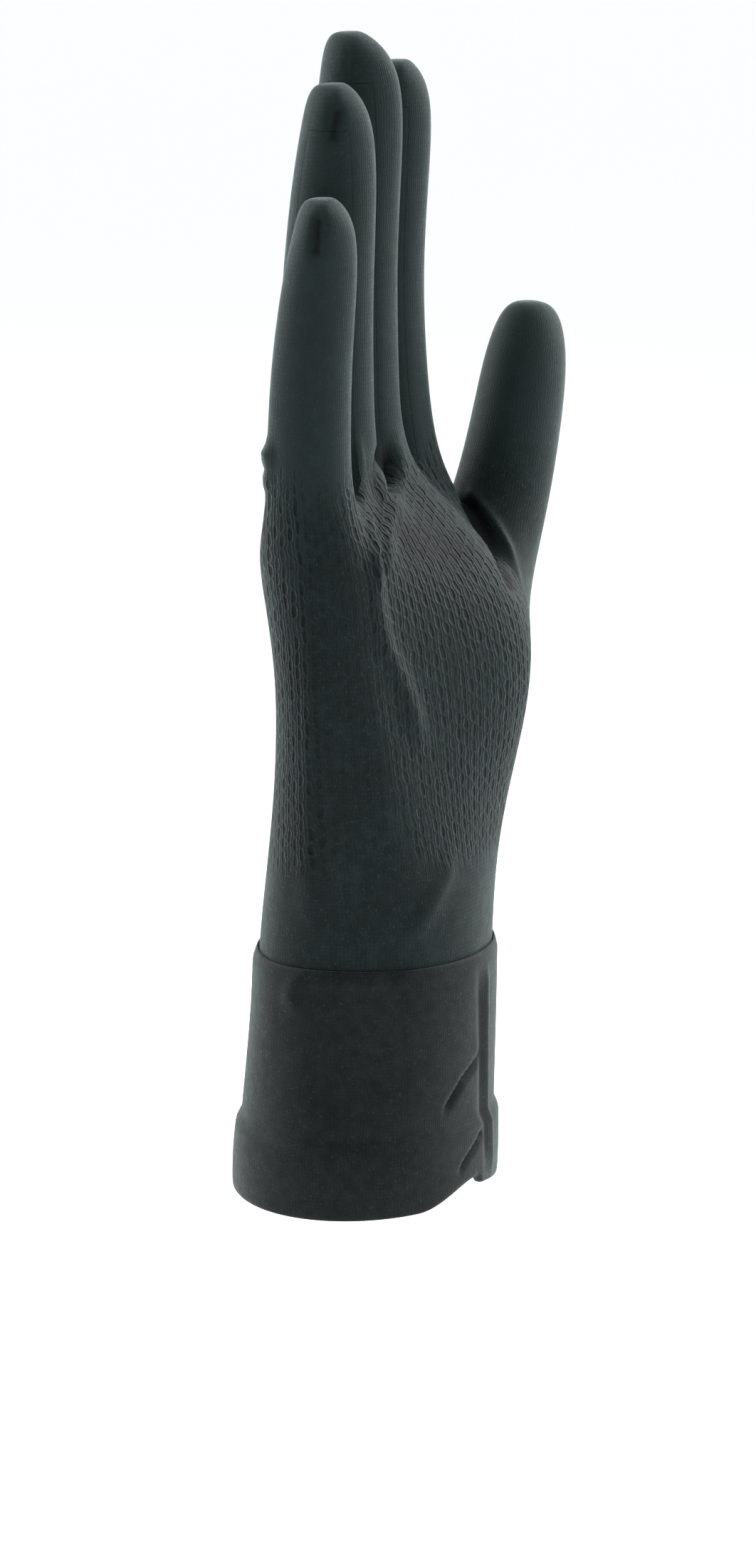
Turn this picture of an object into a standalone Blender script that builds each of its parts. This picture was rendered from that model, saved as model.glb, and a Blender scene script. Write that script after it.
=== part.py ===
"""A silk glove for the right hand, cut and sewn from thin knitted silk.

Metres, +Z up. The origin is the middle of the wrist opening, in the plane of the hem. The
fingers point up, the palm faces -Y and the thumb is on the +X side.

One cage of quads gives the outside of the glove. It is subdivided, cut along the seams into
its pattern pieces, and each piece gets its own wall. The cuff is sewn over the lower edge.
"""
import math
from collections import namedtuple

import bmesh
import bpy
from mathutils import Vector

# Driving sizes, in metres.
PALM_LENGTH = 0.100      # from the lower edge of the hand piece to the web of the long finger
PALM_DEPTH = 0.032       # from the back to the palm, without the ball of the thumb
WRIST_BREADTH = 0.060
WRIST_DEPTH = 0.046
FINGER_LENGTH = 0.086    # the long finger, from its web to its tip
FINGER_BREADTH = 0.0158
FINGER_DEPTH = 0.0164
FINGER_GAP = 0.0022      # between two finger roots
PALM_EASE = 0.0019       # the palm is this much broader at each side than the finger roots
THUMB_LENGTH = 0.061     # from the middle of the thumb hole to the tip
THUMB_BREADTH = 0.0176
CUFF_LENGTH = 0.050
CUFF_LAP = 0.004         # the cuff laps over the hand piece by this much
HEM_BREADTH = 0.071
HEM_DEPTH = 0.0530
HEM_WIDTH = 0.014        # the doubled part of the cuff
WALL = 0.0010            # one layer of cloth
SEAM_GAP = 0.0003        # left between two pieces where they are sewn together

SUBDIVISION = 1
CAGE_GROWTH = 1.08       # a ring of eight corners runs this much outside its smoothed surface
THUMB_GROWTH = 1.035     # and a ring of twelve this much
FACE_SHARP_ANGLE = math.radians(50)
CLOTH_COLOUR = (0.0130, 0.0160, 0.0160, 1.0)

# The wrist and palm, from the lower edge up. Height is a share of PALM_LENGTH, breadth blends
# from the wrist's (0) to the palm's (1). Back is how far the back lies from the middle plane, heel
# and ball how far the palm face does on its little finger side and over the ball of the thumb,
# as shares of PALM_DEPTH; square is the exponent of the section's rounding.
Section = namedtuple("Section", "height breadth back heel ball square")
SECTIONS = (
    Section(0.000, 0.00, 0.65, 0.79, 0.79, 2.1),
    Section(0.110, 0.06, 0.62, 0.80, 0.80, 2.1),
    Section(0.240, 0.25, 0.56, 0.72, 0.84, 2.2),
    Section(0.370, 0.52, 0.50, 0.62, 0.93, 2.3),
    Section(0.500, 0.76, 0.46, 0.54, 1.03, 2.4),
    Section(0.630, 0.92, 0.46, 0.47, 1.08, 2.4),
    Section(0.760, 1.00, 0.52, 0.41, 0.96, 2.5),
    Section(0.890, 1.02, 0.56, 0.34, 0.60, 2.5),
)
HEEL_AT = -0.80          # where the palm face starts to slant up to the ball, of half its breadth
BALL_AT = 0.58

# The fingers, from the little finger to the index. Length, breadth and depth are shares of the
# finger sizes, back a share of PALM_DEPTH, root a share of FINGER_LENGTH above the web of the
# long finger; lean (to the thumb side) and bend (to the palm) are how far the tip goes, as
# shares of the finger's own length, sway is how far the middle of the finger stands back, as a
# share of FINGER_DEPTH, and blunt swells the tip.
Finger = namedtuple("Finger", "name length breadth depth back root lean bend sway blunt")
FINGERS = (
    Finger("little", 0.70, 0.93, 0.88, 0.110, -0.030, -0.016, 0.064, 0.00, 1.05),
    Finger("ring", 0.91, 1.00, 1.02, 0.140, 0.000, -0.012, 0.030, 0.02, 0.99),
    Finger("middle", 1.00, 1.03, 1.02, 0.130, 0.010, 0.006, -0.002, 0.02, 1.09),
    Finger("index", 0.94, 1.00, 0.98, 0.040, -0.010, 0.018, 0.000, 0.13, 1.00),
)

# Rings up a finger: along is a share of its length, broad and deep of its breadth and depth,
# and strip is the half angle that the side strip takes up, in degrees.
Ring = namedtuple("Ring", "along broad deep strip")
FINGER_RINGS = (
    Ring(0.00, 1.06, 1.10, 45),
    Ring(0.22, 1.00, 1.04, 45),
    Ring(0.48, 0.96, 0.99, 42),
    Ring(0.74, 0.92, 0.94, 36),
    Ring(0.91, 0.82, 0.84, 30),
    Ring(0.985, 0.52, 0.54, 30),
)
STRIP_ENDS_AT = 4        # the side strips stop at this ring

# The set-in thumb: its hole takes three columns of the palm ring by three rows. Its rings stand
# out of the hole and up from its middle by shares of THUMB_LENGTH; tilt is how far the outer
# side of a ring hangs below level, in degrees, broad and deep are shares of THUMB_BREADTH.
THUMB_ROWS = (4, 7)
THUMB_COLUMNS = (12, 15)
THUMB_SIDEWAYS = 0.07    # how far the tip leans to the back of the hand, of its height
HOLE_ROUNDING = 0.22     # how far the corners of the thumb hole are drawn in
ThumbRing = namedtuple("ThumbRing", "out up tilt broad deep")
THUMB_RINGS = (
    ThumbRing(0.142, 0.110, 54, 1.22, 1.38),
    ThumbRing(0.240, 0.335, 35, 1.12, 1.18),
    ThumbRing(0.322, 0.580, 24, 1.04, 1.10),
    ThumbRing(0.375, 0.795, 14, 0.93, 0.96),
    ThumbRing(0.403, 0.940, 11, 0.62, 0.62),
)
THUMB_TIP = ThumbRing(0.414, 0.984, 0, 0.0, 0.0)

# The cuff's profile, from the top edge down the outside and back up the inside. Height counts
# from the hem in shares of the stated size, out in layers of cloth from the inner face.
Turn = namedtuple("Turn", "size height layers")
CUFF_PROFILE = (
    Turn("cuff", 1.00, 1.0),
    Turn("lap", 1.00, 1.0),
    Turn("cuff", 0.72, 1.0),
    Turn("cuff", 0.50, 1.0),
    Turn("hem", 1.06, 1.0),
    Turn("hem", 0.92, 2.0),
    Turn("hem", 0.45, 2.1),
    Turn("hem", 0.06, 2.0),
    Turn("hem", 0.00, 1.6),
    Turn("hem", 0.00, 0.4),
    Turn("hem", 0.06, 0.0),
    Turn("hem", 1.00, 0.0),
    Turn("cuff", 0.60, 0.0),
    Turn("lap", 1.00, 0.0),
    Turn("cuff", 1.00, 0.0),
)

# Soft folds of the cuff: angle round the wrist from +X in degrees, the heights where it starts
# and ends as shares of CUFF_LENGTH, its width in degrees and its depth as a share of WALL.
Fold = namedtuple("Fold", "angle low high width depth")
CUFF_FOLDS = (
    Fold(-100, 0.00, 1.00, 9, -1.1),
    Fold(-122, 0.05, 0.40, 8, -0.7),
    Fold(150, 0.30, 1.00, 9, 0.6),
    Fold(-30, 0.00, 0.60, 10, 0.6),
)

PIECES = ("hand", "fourchette_little_ring", "fourchette_ring_middle", "fourchette_middle_index",
          "thumb")
HAND, STRIP, THUMB = 0, 1, 4


def clear_scene():
    """Remove every object of the scene."""
    for item in list(bpy.data.objects):
        bpy.data.objects.remove(item, do_unlink=True)


def hand_foot():
    """Height of the hand piece's lower edge."""
    return CUFF_LENGTH - CUFF_LAP


def smooth(value):
    """Ease a share from 0 to 1."""
    share = min(max(value, 0.0), 1.0)
    return share * share * (3.0 - 2.0 * share)


def finger_row():
    """Breadth of the four finger roots side by side, with the gaps between them."""
    breadths = [finger.breadth * FINGER_BREADTH for finger in FINGERS]
    return sum(breadths) + FINGER_GAP * (len(FINGERS) - 1)


def half_palm():
    """Half the palm's breadth at the knuckles."""
    return 0.5 * finger_row() + PALM_EASE


def root_across(finger):
    """How far a finger's root lies from the middle of the palm, to the thumb side."""
    before = FINGERS[:FINGERS.index(finger)]
    start = sum(other.breadth * FINGER_BREADTH + FINGER_GAP for other in before)
    return start + 0.5 * finger.breadth * FINGER_BREADTH - 0.5 * finger_row()


def finger_ring(finger, ring):
    """Eight corners round a finger, from the back's little finger side round by the thumb side."""
    length = finger.length * FINGER_LENGTH
    swell = 1.0 + (finger.blunt - 1.0) * smooth((ring.along - 0.6) / 0.3)
    half_x = 0.5 * finger.breadth * FINGER_BREADTH * ring.broad * CAGE_GROWTH
    half_y = 0.5 * finger.depth * FINGER_DEPTH * ring.deep * swell * CAGE_GROWTH
    rise = ring.along * length
    sway = finger.sway * FINGER_DEPTH * math.sin(math.pi * ring.along)
    middle = Vector((
        root_across(finger) + finger.lean * rise,
        finger.back * PALM_DEPTH - finger.bend * rise * ring.along + sway,
        hand_foot() + PALM_LENGTH + finger.root * FINGER_LENGTH + rise,
    ))
    angles = (180 - ring.strip, 90, ring.strip, 0, -ring.strip, -90, ring.strip - 180, 180)
    corners = []
    for angle in angles:
        turn = math.radians(angle)
        corners.append(middle + Vector((half_x * math.cos(turn), half_y * math.sin(turn), 0.0)))
    return corners


def ring_shares():
    """The 26 corners of the palm ring: their shares across the palm and whether on the back."""
    back = []
    for finger in FINGERS:
        middle = root_across(finger) / half_palm()
        reach = 0.5 * finger.breadth * FINGER_BREADTH * math.sqrt(0.5) / half_palm()
        back += [middle - reach, middle, middle + reach]
    shares = [(share, 1) for share in back]
    shares.append((1.0, 0))
    shares += [(share, -1) for share in reversed(back)]
    shares.append((-1.0, 0))
    return shares


def palm_ring(section):
    """The 26 corners of one palm section, from the back's little finger side."""
    half = 0.5 * WRIST_BREADTH + (half_palm() - 0.5 * WRIST_BREADTH) * section.breadth
    deep = PALM_DEPTH + (WRIST_DEPTH * 0.7 - PALM_DEPTH) * (1.0 - smooth(section.height / 0.4))
    height = hand_foot() + section.height * PALM_LENGTH
    corners = []
    for share, side in ring_shares():
        share = max(-1.0, min(1.0, share))
        rounding = (1.0 - abs(share) ** section.square) ** (1.0 / section.square)
        if side > 0:
            y = section.back * deep * rounding
        elif side < 0:
            slant = (share - HEEL_AT) / (BALL_AT - HEEL_AT)
            y = -(section.heel + (section.ball - section.heel) * smooth(slant)) * deep * rounding
        else:
            y = -0.10 * deep if share > 0 else 0.05 * deep
        corners.append(Vector((share * half, y, height)))
    return corners


def root_ring():
    """The top of the palm: the outer corners of the four finger roots, in palm ring order."""
    roots = [finger_ring(finger, FINGER_RINGS[0]) for finger in FINGERS]
    back = [corner for root in roots for corner in root[0:3]]
    palm = [corner for root in roots for corner in (root[6], root[5], root[4])]
    return back + [roots[-1][3]] + palm[::-1] + [roots[0][7]]


def thumb_hole(grid):
    """Draw in the corners of the thumb hole, and return its middle and outward direction."""
    low, high = THUMB_ROWS
    left, right = THUMB_COLUMNS
    corners = [(low, left), (low, right), (high, right), (high, left)]
    middle = sum((grid[r][c] for r, c in corners), Vector()) / 4.0
    for row, column in corners:
        grid[row][column] = grid[row][column].lerp(middle, HOLE_ROUNDING)
    along = grid[high][left] - grid[low][left]
    across = grid[low][right] - grid[low][left]
    return middle, along.cross(across).normalized()


def hole_loop():
    """Grid places round the thumb hole, starting at the low corner on the side of the glove."""
    low, high = THUMB_ROWS
    left, right = THUMB_COLUMNS
    loop = [(low, c) for c in range(left, right)]
    loop += [(r, right) for r in range(low, high)]
    loop += [(high, c) for c in range(right, left, -1)]
    loop += [(r, left) for r in range(high, low, -1)]
    return loop


def thumb_ring(middle, outward, ring):
    """Twelve corners of one ring of the thumb, from its side to the back of the hand and low."""
    side = Vector((-outward.y, outward.x, 0.0)).normalized()
    flat = Vector((outward.x, outward.y, 0.0)).normalized()
    up = Vector((0.0, 0.0, 1.0))
    rise = ring.up * THUMB_LENGTH
    centre = middle + flat * ring.out * THUMB_LENGTH + up * rise + side * THUMB_SIDEWAYS * rise
    tilt = math.radians(ring.tilt)
    inner = up * math.sin(tilt) - flat * math.cos(tilt)
    half_broad = 0.5 * THUMB_BREADTH * ring.broad * THUMB_GROWTH
    half_deep = 0.5 * THUMB_BREADTH * ring.deep * THUMB_GROWTH
    corners = []
    for step in range(12):
        angle = math.radians(-45 - 30 * step)
        across = side * half_broad * math.cos(angle)
        corners.append(centre + across + inner * half_deep * math.sin(angle))
    return corners


def add_ring(mesh, corners):
    """Add a ring of corners to the cage."""
    return [mesh.verts.new(corner) for corner in corners]


def add_face(mesh, corners, piece):
    """Add one quad of a pattern piece to the cage."""
    face = mesh.faces.new(corners)
    face.material_index = piece
    return face


def join_rings(mesh, lower, upper, pieces):
    """Fill the band between two rings; pieces gives the pattern piece of each column."""
    count = len(lower)
    for i in range(count):
        j = (i + 1) % count
        if pieces[i] is not None:
            add_face(mesh, (lower[i], upper[i], upper[j], lower[j]), pieces[i])


def build_palm(mesh):
    """Cage of the wrist and palm; returns the grid of corners and the thumb hole's place."""
    rows = [palm_ring(section) for section in SECTIONS] + [root_ring()]
    middle, outward = thumb_hole(rows)
    grid = [add_ring(mesh, row) for row in rows]
    for low in range(len(grid) - 1):
        in_hole = THUMB_ROWS[0] <= low < THUMB_ROWS[1]
        pieces = [HAND] * len(grid[low])
        if in_hole:
            for column in range(*THUMB_COLUMNS):
                pieces[column] = None
        join_rings(mesh, grid[low], grid[low + 1], pieces)
    return grid, middle, outward


def build_fingers(mesh, top):
    """Cage of the four fingers and the webs between them, on the top ring of the palm."""
    last = len(FINGERS) - 1
    outer = len(top)
    roots = []
    for k, finger in enumerate(FINGERS):
        back = top[3 * k:3 * k + 3]
        first_palm = outer // 2 + 3 * (last - k)
        palm = top[first_palm:first_palm + 3]
        corners = finger_ring(finger, FINGER_RINGS[0])
        thumb_side = top[outer // 2 - 1] if k == last else mesh.verts.new(corners[3])
        little_side = top[outer - 1] if k == 0 else mesh.verts.new(corners[7])
        roots.append(back + [thumb_side] + palm + [little_side])
    for k, finger in enumerate(FINGERS):
        toward_thumb = HAND if k == last else STRIP + k
        toward_little = HAND if k == 0 else STRIP + k - 1
        ring = roots[k]
        for index, place in enumerate(FINGER_RINGS[1:], start=1):
            upper = add_ring(mesh, finger_ring(finger, place))
            strips = index <= STRIP_ENDS_AT
            right = toward_thumb if strips else HAND
            left = toward_little if strips else HAND
            join_rings(mesh, ring, upper, [HAND, HAND, right, right, HAND, HAND, left, left])
            ring = upper
        tip = mesh.verts.new(finger_ring(finger, Ring(1.0, 0.0, 0.0, 0))[0])
        for i in (0, 2, 4, 6):
            add_face(mesh, (ring[i], tip, ring[(i + 2) % 8], ring[i + 1]), HAND)
    for k in range(last):
        near, far = roots[k], roots[k + 1]
        add_face(mesh, (near[2], near[3], far[7], far[0]), STRIP + k)
        add_face(mesh, (near[3], near[4], far[6], far[7]), STRIP + k)


def build_thumb(mesh, grid, middle, outward):
    """Cage of the thumb, on the loop of the thumb hole."""
    ring = [grid[row][column] for row, column in hole_loop()]
    tip = thumb_ring(middle, outward, THUMB_TIP)[0]
    for place in THUMB_RINGS:
        upper = add_ring(mesh, thumb_ring(middle, outward, place))
        join_rings(mesh, ring, upper, [THUMB] * len(ring))
        ring = upper
    inner = [mesh.verts.new(ring[c].co.lerp(tip, 0.66)) for c in (0, 3, 6, 9)]
    for q in range(4):
        a = 3 * q
        corner, following = inner[q], inner[(q + 1) % 4]
        add_face(mesh, (ring[a], ring[a - 1], corner, ring[a + 1]), THUMB)
        add_face(mesh, (ring[a + 1], corner, following, ring[(a + 2) % 12]), THUMB)
    add_face(mesh, inner[::-1], THUMB)


def smooth_skin():
    """The outside of the glove above the cuff, subdivided, as one bmesh."""
    mesh = bmesh.new()
    grid, middle, outward = build_palm(mesh)
    build_fingers(mesh, grid[-1])
    build_thumb(mesh, grid, middle, outward)
    bmesh.ops.recalc_face_normals(mesh, faces=mesh.faces)
    cage = bpy.data.meshes.new("glove_cage")
    mesh.to_mesh(cage)
    mesh.free()
    form = bpy.data.objects.new("glove_form", cage)
    bpy.context.scene.collection.objects.link(form)
    levels = form.modifiers.new("Smooth", "SUBSURF")
    levels.levels = SUBDIVISION
    levels.render_levels = SUBDIVISION
    depsgraph = bpy.context.evaluated_depsgraph_get()
    skin = bmesh.new()
    skin.from_mesh(form.evaluated_get(depsgraph).to_mesh())
    bpy.data.objects.remove(form, do_unlink=True)
    skin.normal_update()
    skin.faces.ensure_lookup_table()
    return skin


def edge_drawback(faces):
    """For each corner on the edge of a set of faces, the way into the piece."""
    chosen = set(faces)
    inward = {}
    for face in faces:
        for loop in face.loops:
            if sum(1 for other in loop.edge.link_faces if other in chosen) == 1:
                along = (loop.link_loop_next.vert.co - loop.vert.co).normalized()
                into = face.normal.cross(along)
                for vert in (loop.vert, loop.link_loop_next.vert):
                    inward[vert] = inward.get(vert, Vector()) + into
    return {vert: way.normalized() for vert, way in inward.items()}


def cloth_wall(skin, piece):
    """Cut one pattern piece out of the skin and give it its wall, a closed solid."""
    faces = [face for face in skin.faces if face.material_index == piece]
    inward = edge_drawback(faces)
    wall = bmesh.new()
    outside, inside = {}, {}
    for vert in dict.fromkeys(v for face in faces for v in face.verts):
        place = vert.co + inward.get(vert, Vector()) * 0.5 * SEAM_GAP
        outside[vert] = wall.verts.new(place)
        inside[vert] = wall.verts.new(place - vert.normal * WALL * vert.calc_shell_factor())
    chosen = set(faces)
    for face in faces:
        wall.faces.new([outside[v] for v in face.verts])
        wall.faces.new([inside[v] for v in reversed(face.verts)])
        for loop in face.loops:
            if sum(1 for other in loop.edge.link_faces if other in chosen) == 1:
                a, b = loop.vert, loop.link_loop_next.vert
                wall.faces.new((outside[b], outside[a], inside[a], inside[b]))
    return wall


def wrist_loops(skin):
    """The skin's lowest loop of corners in order round the wrist, and the loop above it."""
    foot = min(vert.co.z for vert in skin.verts)
    rim = [v for v in skin.verts if v.is_boundary and v.co.z < foot + 0.25 * CUFF_LAP]
    rim.sort(key=lambda v: math.atan2(v.co.y, v.co.x))
    above = []
    for vert in rim:
        up = max((edge.other_vert(vert) for edge in vert.link_edges), key=lambda v: v.co.z)
        above.append(up.co.copy())
    return [vert.co.copy() for vert in rim], above


def loop_normals(loop):
    """Outward level directions at the corners of a loop."""
    count = len(loop)
    normals = []
    for i in range(count):
        along = loop[(i + 1) % count] - loop[i - 1]
        normals.append(Vector((along.y, -along.x, 0.0)).normalized())
    return normals


def fold_depth(angle, share):
    """How far the folds move the cuff out at an angle and a share of its height."""
    out = 0.0
    for fold in CUFF_FOLDS:
        turn = (math.degrees(angle) - fold.angle + 180.0) % 360.0 - 180.0
        ends = smooth((share - fold.low) / 0.2) * smooth((fold.high - share) / 0.2)
        out += fold.depth * WALL * ends * math.exp(-(turn / fold.width) ** 2)
    return out


def cuff_row(turn, rim, above, normals):
    """Corners of one row of the cuff's profile."""
    height = {
        "cuff": turn.height * CUFF_LENGTH,
        "lap": CUFF_LENGTH - turn.height * CUFF_LAP,
        "hem": turn.height * HEM_WIDTH,
    }[turn.size]
    foot = hand_foot()
    corners = []
    for low, high, normal in zip(rim, above, normals):
        rise = (height - low.z) / (high.z - low.z)
        if rise >= 0.0:
            place = low.lerp(high, rise)
            out = 0.0
        else:
            down = 1.0 - height / foot
            angle = math.atan2(low.y / WRIST_DEPTH, low.x / WRIST_BREADTH)
            hem = Vector((0.5 * HEM_BREADTH * math.cos(angle), 0.5 * HEM_DEPTH * math.sin(angle), 0))
            hem -= normal * (SEAM_GAP + 2.0 * WALL)
            place = low.lerp(hem, 0.35 * down + 0.65 * smooth(down))
            out = fold_depth(angle, height / CUFF_LENGTH) * smooth(4.0 * down)
        place = place + normal * (SEAM_GAP + turn.layers * WALL + out)
        corners.append(Vector((place.x, place.y, height)))
    return corners


def build_cuff(skin):
    """The cuff as one closed solid, from the wrist loop of the skin down to the hem."""
    rim, above = wrist_loops(skin)
    normals = loop_normals(rim)
    wall = bmesh.new()
    rows = [[wall.verts.new(corner) for corner in cuff_row(turn, rim, above, normals)]
            for turn in CUFF_PROFILE]
    count = len(rim)
    for upper, lower in zip(rows, rows[1:] + rows[:1]):
        for i in range(count):
            j = (i + 1) % count
            wall.faces.new((upper[i], lower[i], lower[j], upper[j]))
    return wall


def cloth_material(name):
    """The cloth of one piece: dull dark silk."""
    material = bpy.data.materials.new(name + "_silk")
    material.use_nodes = True
    shader = material.node_tree.nodes["Principled BSDF"]
    shader.inputs["Base Color"].default_value = CLOTH_COLOUR
    shader.inputs["Roughness"].default_value = 0.8
    shader.inputs["Metallic"].default_value = 0.0
    return material


def finish_piece(wall, name, parent):
    """Turn a finished wall into a named object with its own material."""
    bmesh.ops.recalc_face_normals(wall, faces=wall.faces)
    mesh = bpy.data.meshes.new(name)
    wall.to_mesh(mesh)
    wall.free()
    mesh.shade_smooth()
    mesh.set_sharp_from_angle(angle=FACE_SHARP_ANGLE)
    mesh.materials.append(cloth_material(name))
    piece = bpy.data.objects.new(name, mesh)
    bpy.context.scene.collection.objects.link(piece)
    piece.parent = parent
    return piece


def main():
    """Model the glove."""
    clear_scene()
    glove = bpy.data.objects.new("silk_glove", None)
    bpy.context.scene.collection.objects.link(glove)
    skin = smooth_skin()
    for index, name in enumerate(PIECES):
        finish_piece(cloth_wall(skin, index), name, glove)
    finish_piece(build_cuff(skin), "cuff", glove)
    skin.free()


main()
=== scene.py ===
"""A dark silk glove for the right hand, dressed around its CAD frame.

Metres, +Z up. The fingers point up from the wrist opening at the origin, the palm faces -Y
and the thumb is on the +X side. One cage of quads is grown ring by ring, smoothed, folded and
cut along its seams into the pattern pieces. Each piece stands for its CAD node.
"""
import logging
import math
from dataclasses import dataclass
from enum import Enum

import bmesh
import bpy
import numpy as np
from bmesh.types import BMEdge, BMesh, BMFace, BMVert
from bpy.types import Material, Object
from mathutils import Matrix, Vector
from mathutils.kdtree import KDTree


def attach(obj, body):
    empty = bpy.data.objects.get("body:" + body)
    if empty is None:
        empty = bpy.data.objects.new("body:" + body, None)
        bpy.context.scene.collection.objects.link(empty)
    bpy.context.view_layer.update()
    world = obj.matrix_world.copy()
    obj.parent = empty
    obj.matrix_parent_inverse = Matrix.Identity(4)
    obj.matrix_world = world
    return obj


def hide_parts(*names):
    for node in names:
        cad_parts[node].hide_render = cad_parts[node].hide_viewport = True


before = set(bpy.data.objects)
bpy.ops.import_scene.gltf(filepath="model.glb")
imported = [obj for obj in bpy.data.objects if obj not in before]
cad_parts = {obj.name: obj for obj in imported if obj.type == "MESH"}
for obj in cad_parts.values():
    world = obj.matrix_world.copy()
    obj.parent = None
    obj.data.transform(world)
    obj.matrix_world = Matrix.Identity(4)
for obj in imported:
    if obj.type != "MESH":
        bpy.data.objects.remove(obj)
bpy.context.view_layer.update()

Spans = list[tuple[float, float]]
LOG = logging.getLogger("silk_glove")
MM = 0.001
THUMB_COLUMNS = 12
# Creases are painted with shade that darkens as they sink; this is the depth, in millimetres, where
# that painted shade is darkest.
FULL_SHADE_DEPTH = 0.9  # How deep a fold is where it is darkest, in millimetres.
# The nodes behind the sums of a knit that aren't plain arithmetic.
SUM_NODES = {
    "CLOUD": ("TexNoise", {}),
    "EASE": ("MapRange", {"interpolation_type": "SMOOTHSTEP"}),
    "CELL": ("CombineXYZ", {}),
    "CHANCE": ("TexWhiteNoise", {"noise_dimensions": "2D"}),
}


def eased(values: np.ndarray) -> np.ndarray:
    """Ease an array of shares from 0 to 1."""
    share = np.clip(values, 0.0, 1.0)
    return share * share * (3.0 - 2.0 * share)


def smooth(value: float) -> float:
    """Ease one share from 0 to 1."""
    return float(eased(value))


def colour(code: str) -> tuple[float, float, float, float]:
    """Turn an sRGB hex colour to linear light.

    Args:
        code: The colour as "#rrggbb".

    Returns:
        Linear red, green, blue and an alpha of 1.
    """
    shares = [int(code[i:i + 2], 16) / 255.0 for i in (1, 3, 5)]
    linear = [c / 12.92 if c <= 0.04045 else ((c + 0.055) / 1.055) ** 2.4 for c in shares]
    return (*linear, 1.0)


def add_node(tree: bpy.types.NodeTree, kind: str, inputs: dict | None = None,
             **settings) -> bpy.types.Node:
    """Add a node with its settings, values and links.

    Args:
        tree: The node tree.
        kind: The node's type name after "ShaderNode".
        inputs: Value or output socket for each input, by name or number.
        settings: Properties of the node itself.

    Returns:
        The new node.
    """
    node = tree.nodes.new("ShaderNode" + kind)
    for name, value in settings.items():
        setattr(node, name, value)
    for key, value in (inputs or {}).items():
        if isinstance(value, bpy.types.NodeSocket):
            tree.links.new(value, node.inputs[key])
        else:
            node.inputs[key].default_value = value
    return node


def pairs(ring: list) -> list[tuple]:
    """Each corner of a closed ring with the next."""
    return list(zip(ring, [*ring[1:], ring[0]]))


def around(ring: list[Vector]) -> Spans:
    """Where each side of a closed ring starts and ends along it, in millimetres."""
    stops = np.cumsum([0.0] + [(b - a).length / MM for a, b in pairs(ring)])
    return list(zip(stops[:-1], stops[1:]))


def placed(mesh: BMesh, name: str) -> Object:
    """Make an object of a finished mesh.

    Args:
        mesh: The mesh, which is freed.
        name: The object's name.

    Returns:
        The object, in the scene.
    """
    made = bpy.data.objects.new(name, bpy.data.meshes.new(name))
    mesh.to_mesh(made.data)
    mesh.free()
    bpy.context.scene.collection.objects.link(made)
    return made


class Piece(Enum):
    """The pattern pieces that are cut from the skin, by their place in the cage."""

    HAND = 0
    FOURCHETTE_LITTLE_RING = 1
    FOURCHETTE_RING_MIDDLE = 2
    FOURCHETTE_MIDDLE_INDEX = 3
    THUMB = 4


class Knit(Enum):
    """How a piece is knitted."""

    RELIEF = "relief knit"
    FINE = "fine knit"
    BAND = "band knit"


@dataclass(frozen=True)
class Section:
    """One level section of the wrist and palm, in shares of the palm's sizes."""

    height: float
    breadth: float
    back: float
    heel: float
    ball: float
    square: float


@dataclass(frozen=True)
class Finger:
    """One finger, in shares of the finger sizes, from the little finger to the index."""

    length: float
    breadth: float
    depth: float
    back: float
    root: float
    lean: float
    bend: float
    sway: float
    blunt: float


@dataclass(frozen=True)
class Ring:
    """One ring of a finger: along it, its breadth, its back and pad, and half the strip's angle."""

    along: float
    broad: float
    back: float
    pad: float
    strip: float


@dataclass(frozen=True)
class ThumbRing:
    """One ring of the thumb, out of its hole and up, in shares of the thumb's length."""

    out: float
    up: float
    tilt: float
    broad: float
    deep: float


@dataclass(frozen=True)
class Fold:
    """A soft ridge of the cloth along a path, or a crease where its height is negative.

    The path, height and width are in millimetres. Share is how much of each end fades out.
    """

    path: tuple[tuple[float, float, float], ...]
    height: float
    width: float
    share: float = 0.3

    def lift(self, places: np.ndarray, normals: np.ndarray) -> np.ndarray:
        """How far the fold moves each point of the cloth out.

        Args:
            places: Points in metres.
            normals: Their outward directions.

        Returns:
            Distances in metres.
        """
        points = np.array(self.path) * MM
        steps = np.diff(points, axis=0)
        lengths = np.linalg.norm(steps, axis=1)
        total = lengths.sum()
        best = np.full(len(places), 1e9)
        along = np.zeros(len(places))
        start = 0.0
        for point, step, length in zip(points, steps, lengths):
            share = np.clip((places - point) @ step / length ** 2, 0.0, 1.0)
            away = np.linalg.norm(places - point - share[:, None] * step, axis=1)
            nearer = away < best
            best = np.where(nearer, away, best)
            along = np.where(nearer, (start + share * length) / total, along)
            start += length
        near = int(np.argmin(np.linalg.norm(places - points[len(points) // 2], axis=1)))
        facing = eased((normals @ normals[near] + 0.1) / 0.5)
        ends = eased(along / self.share) * eased((1.0 - along) / self.share)
        return self.height * MM * ends * facing * np.exp(-(best / (self.width * MM)) ** 2)


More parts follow.
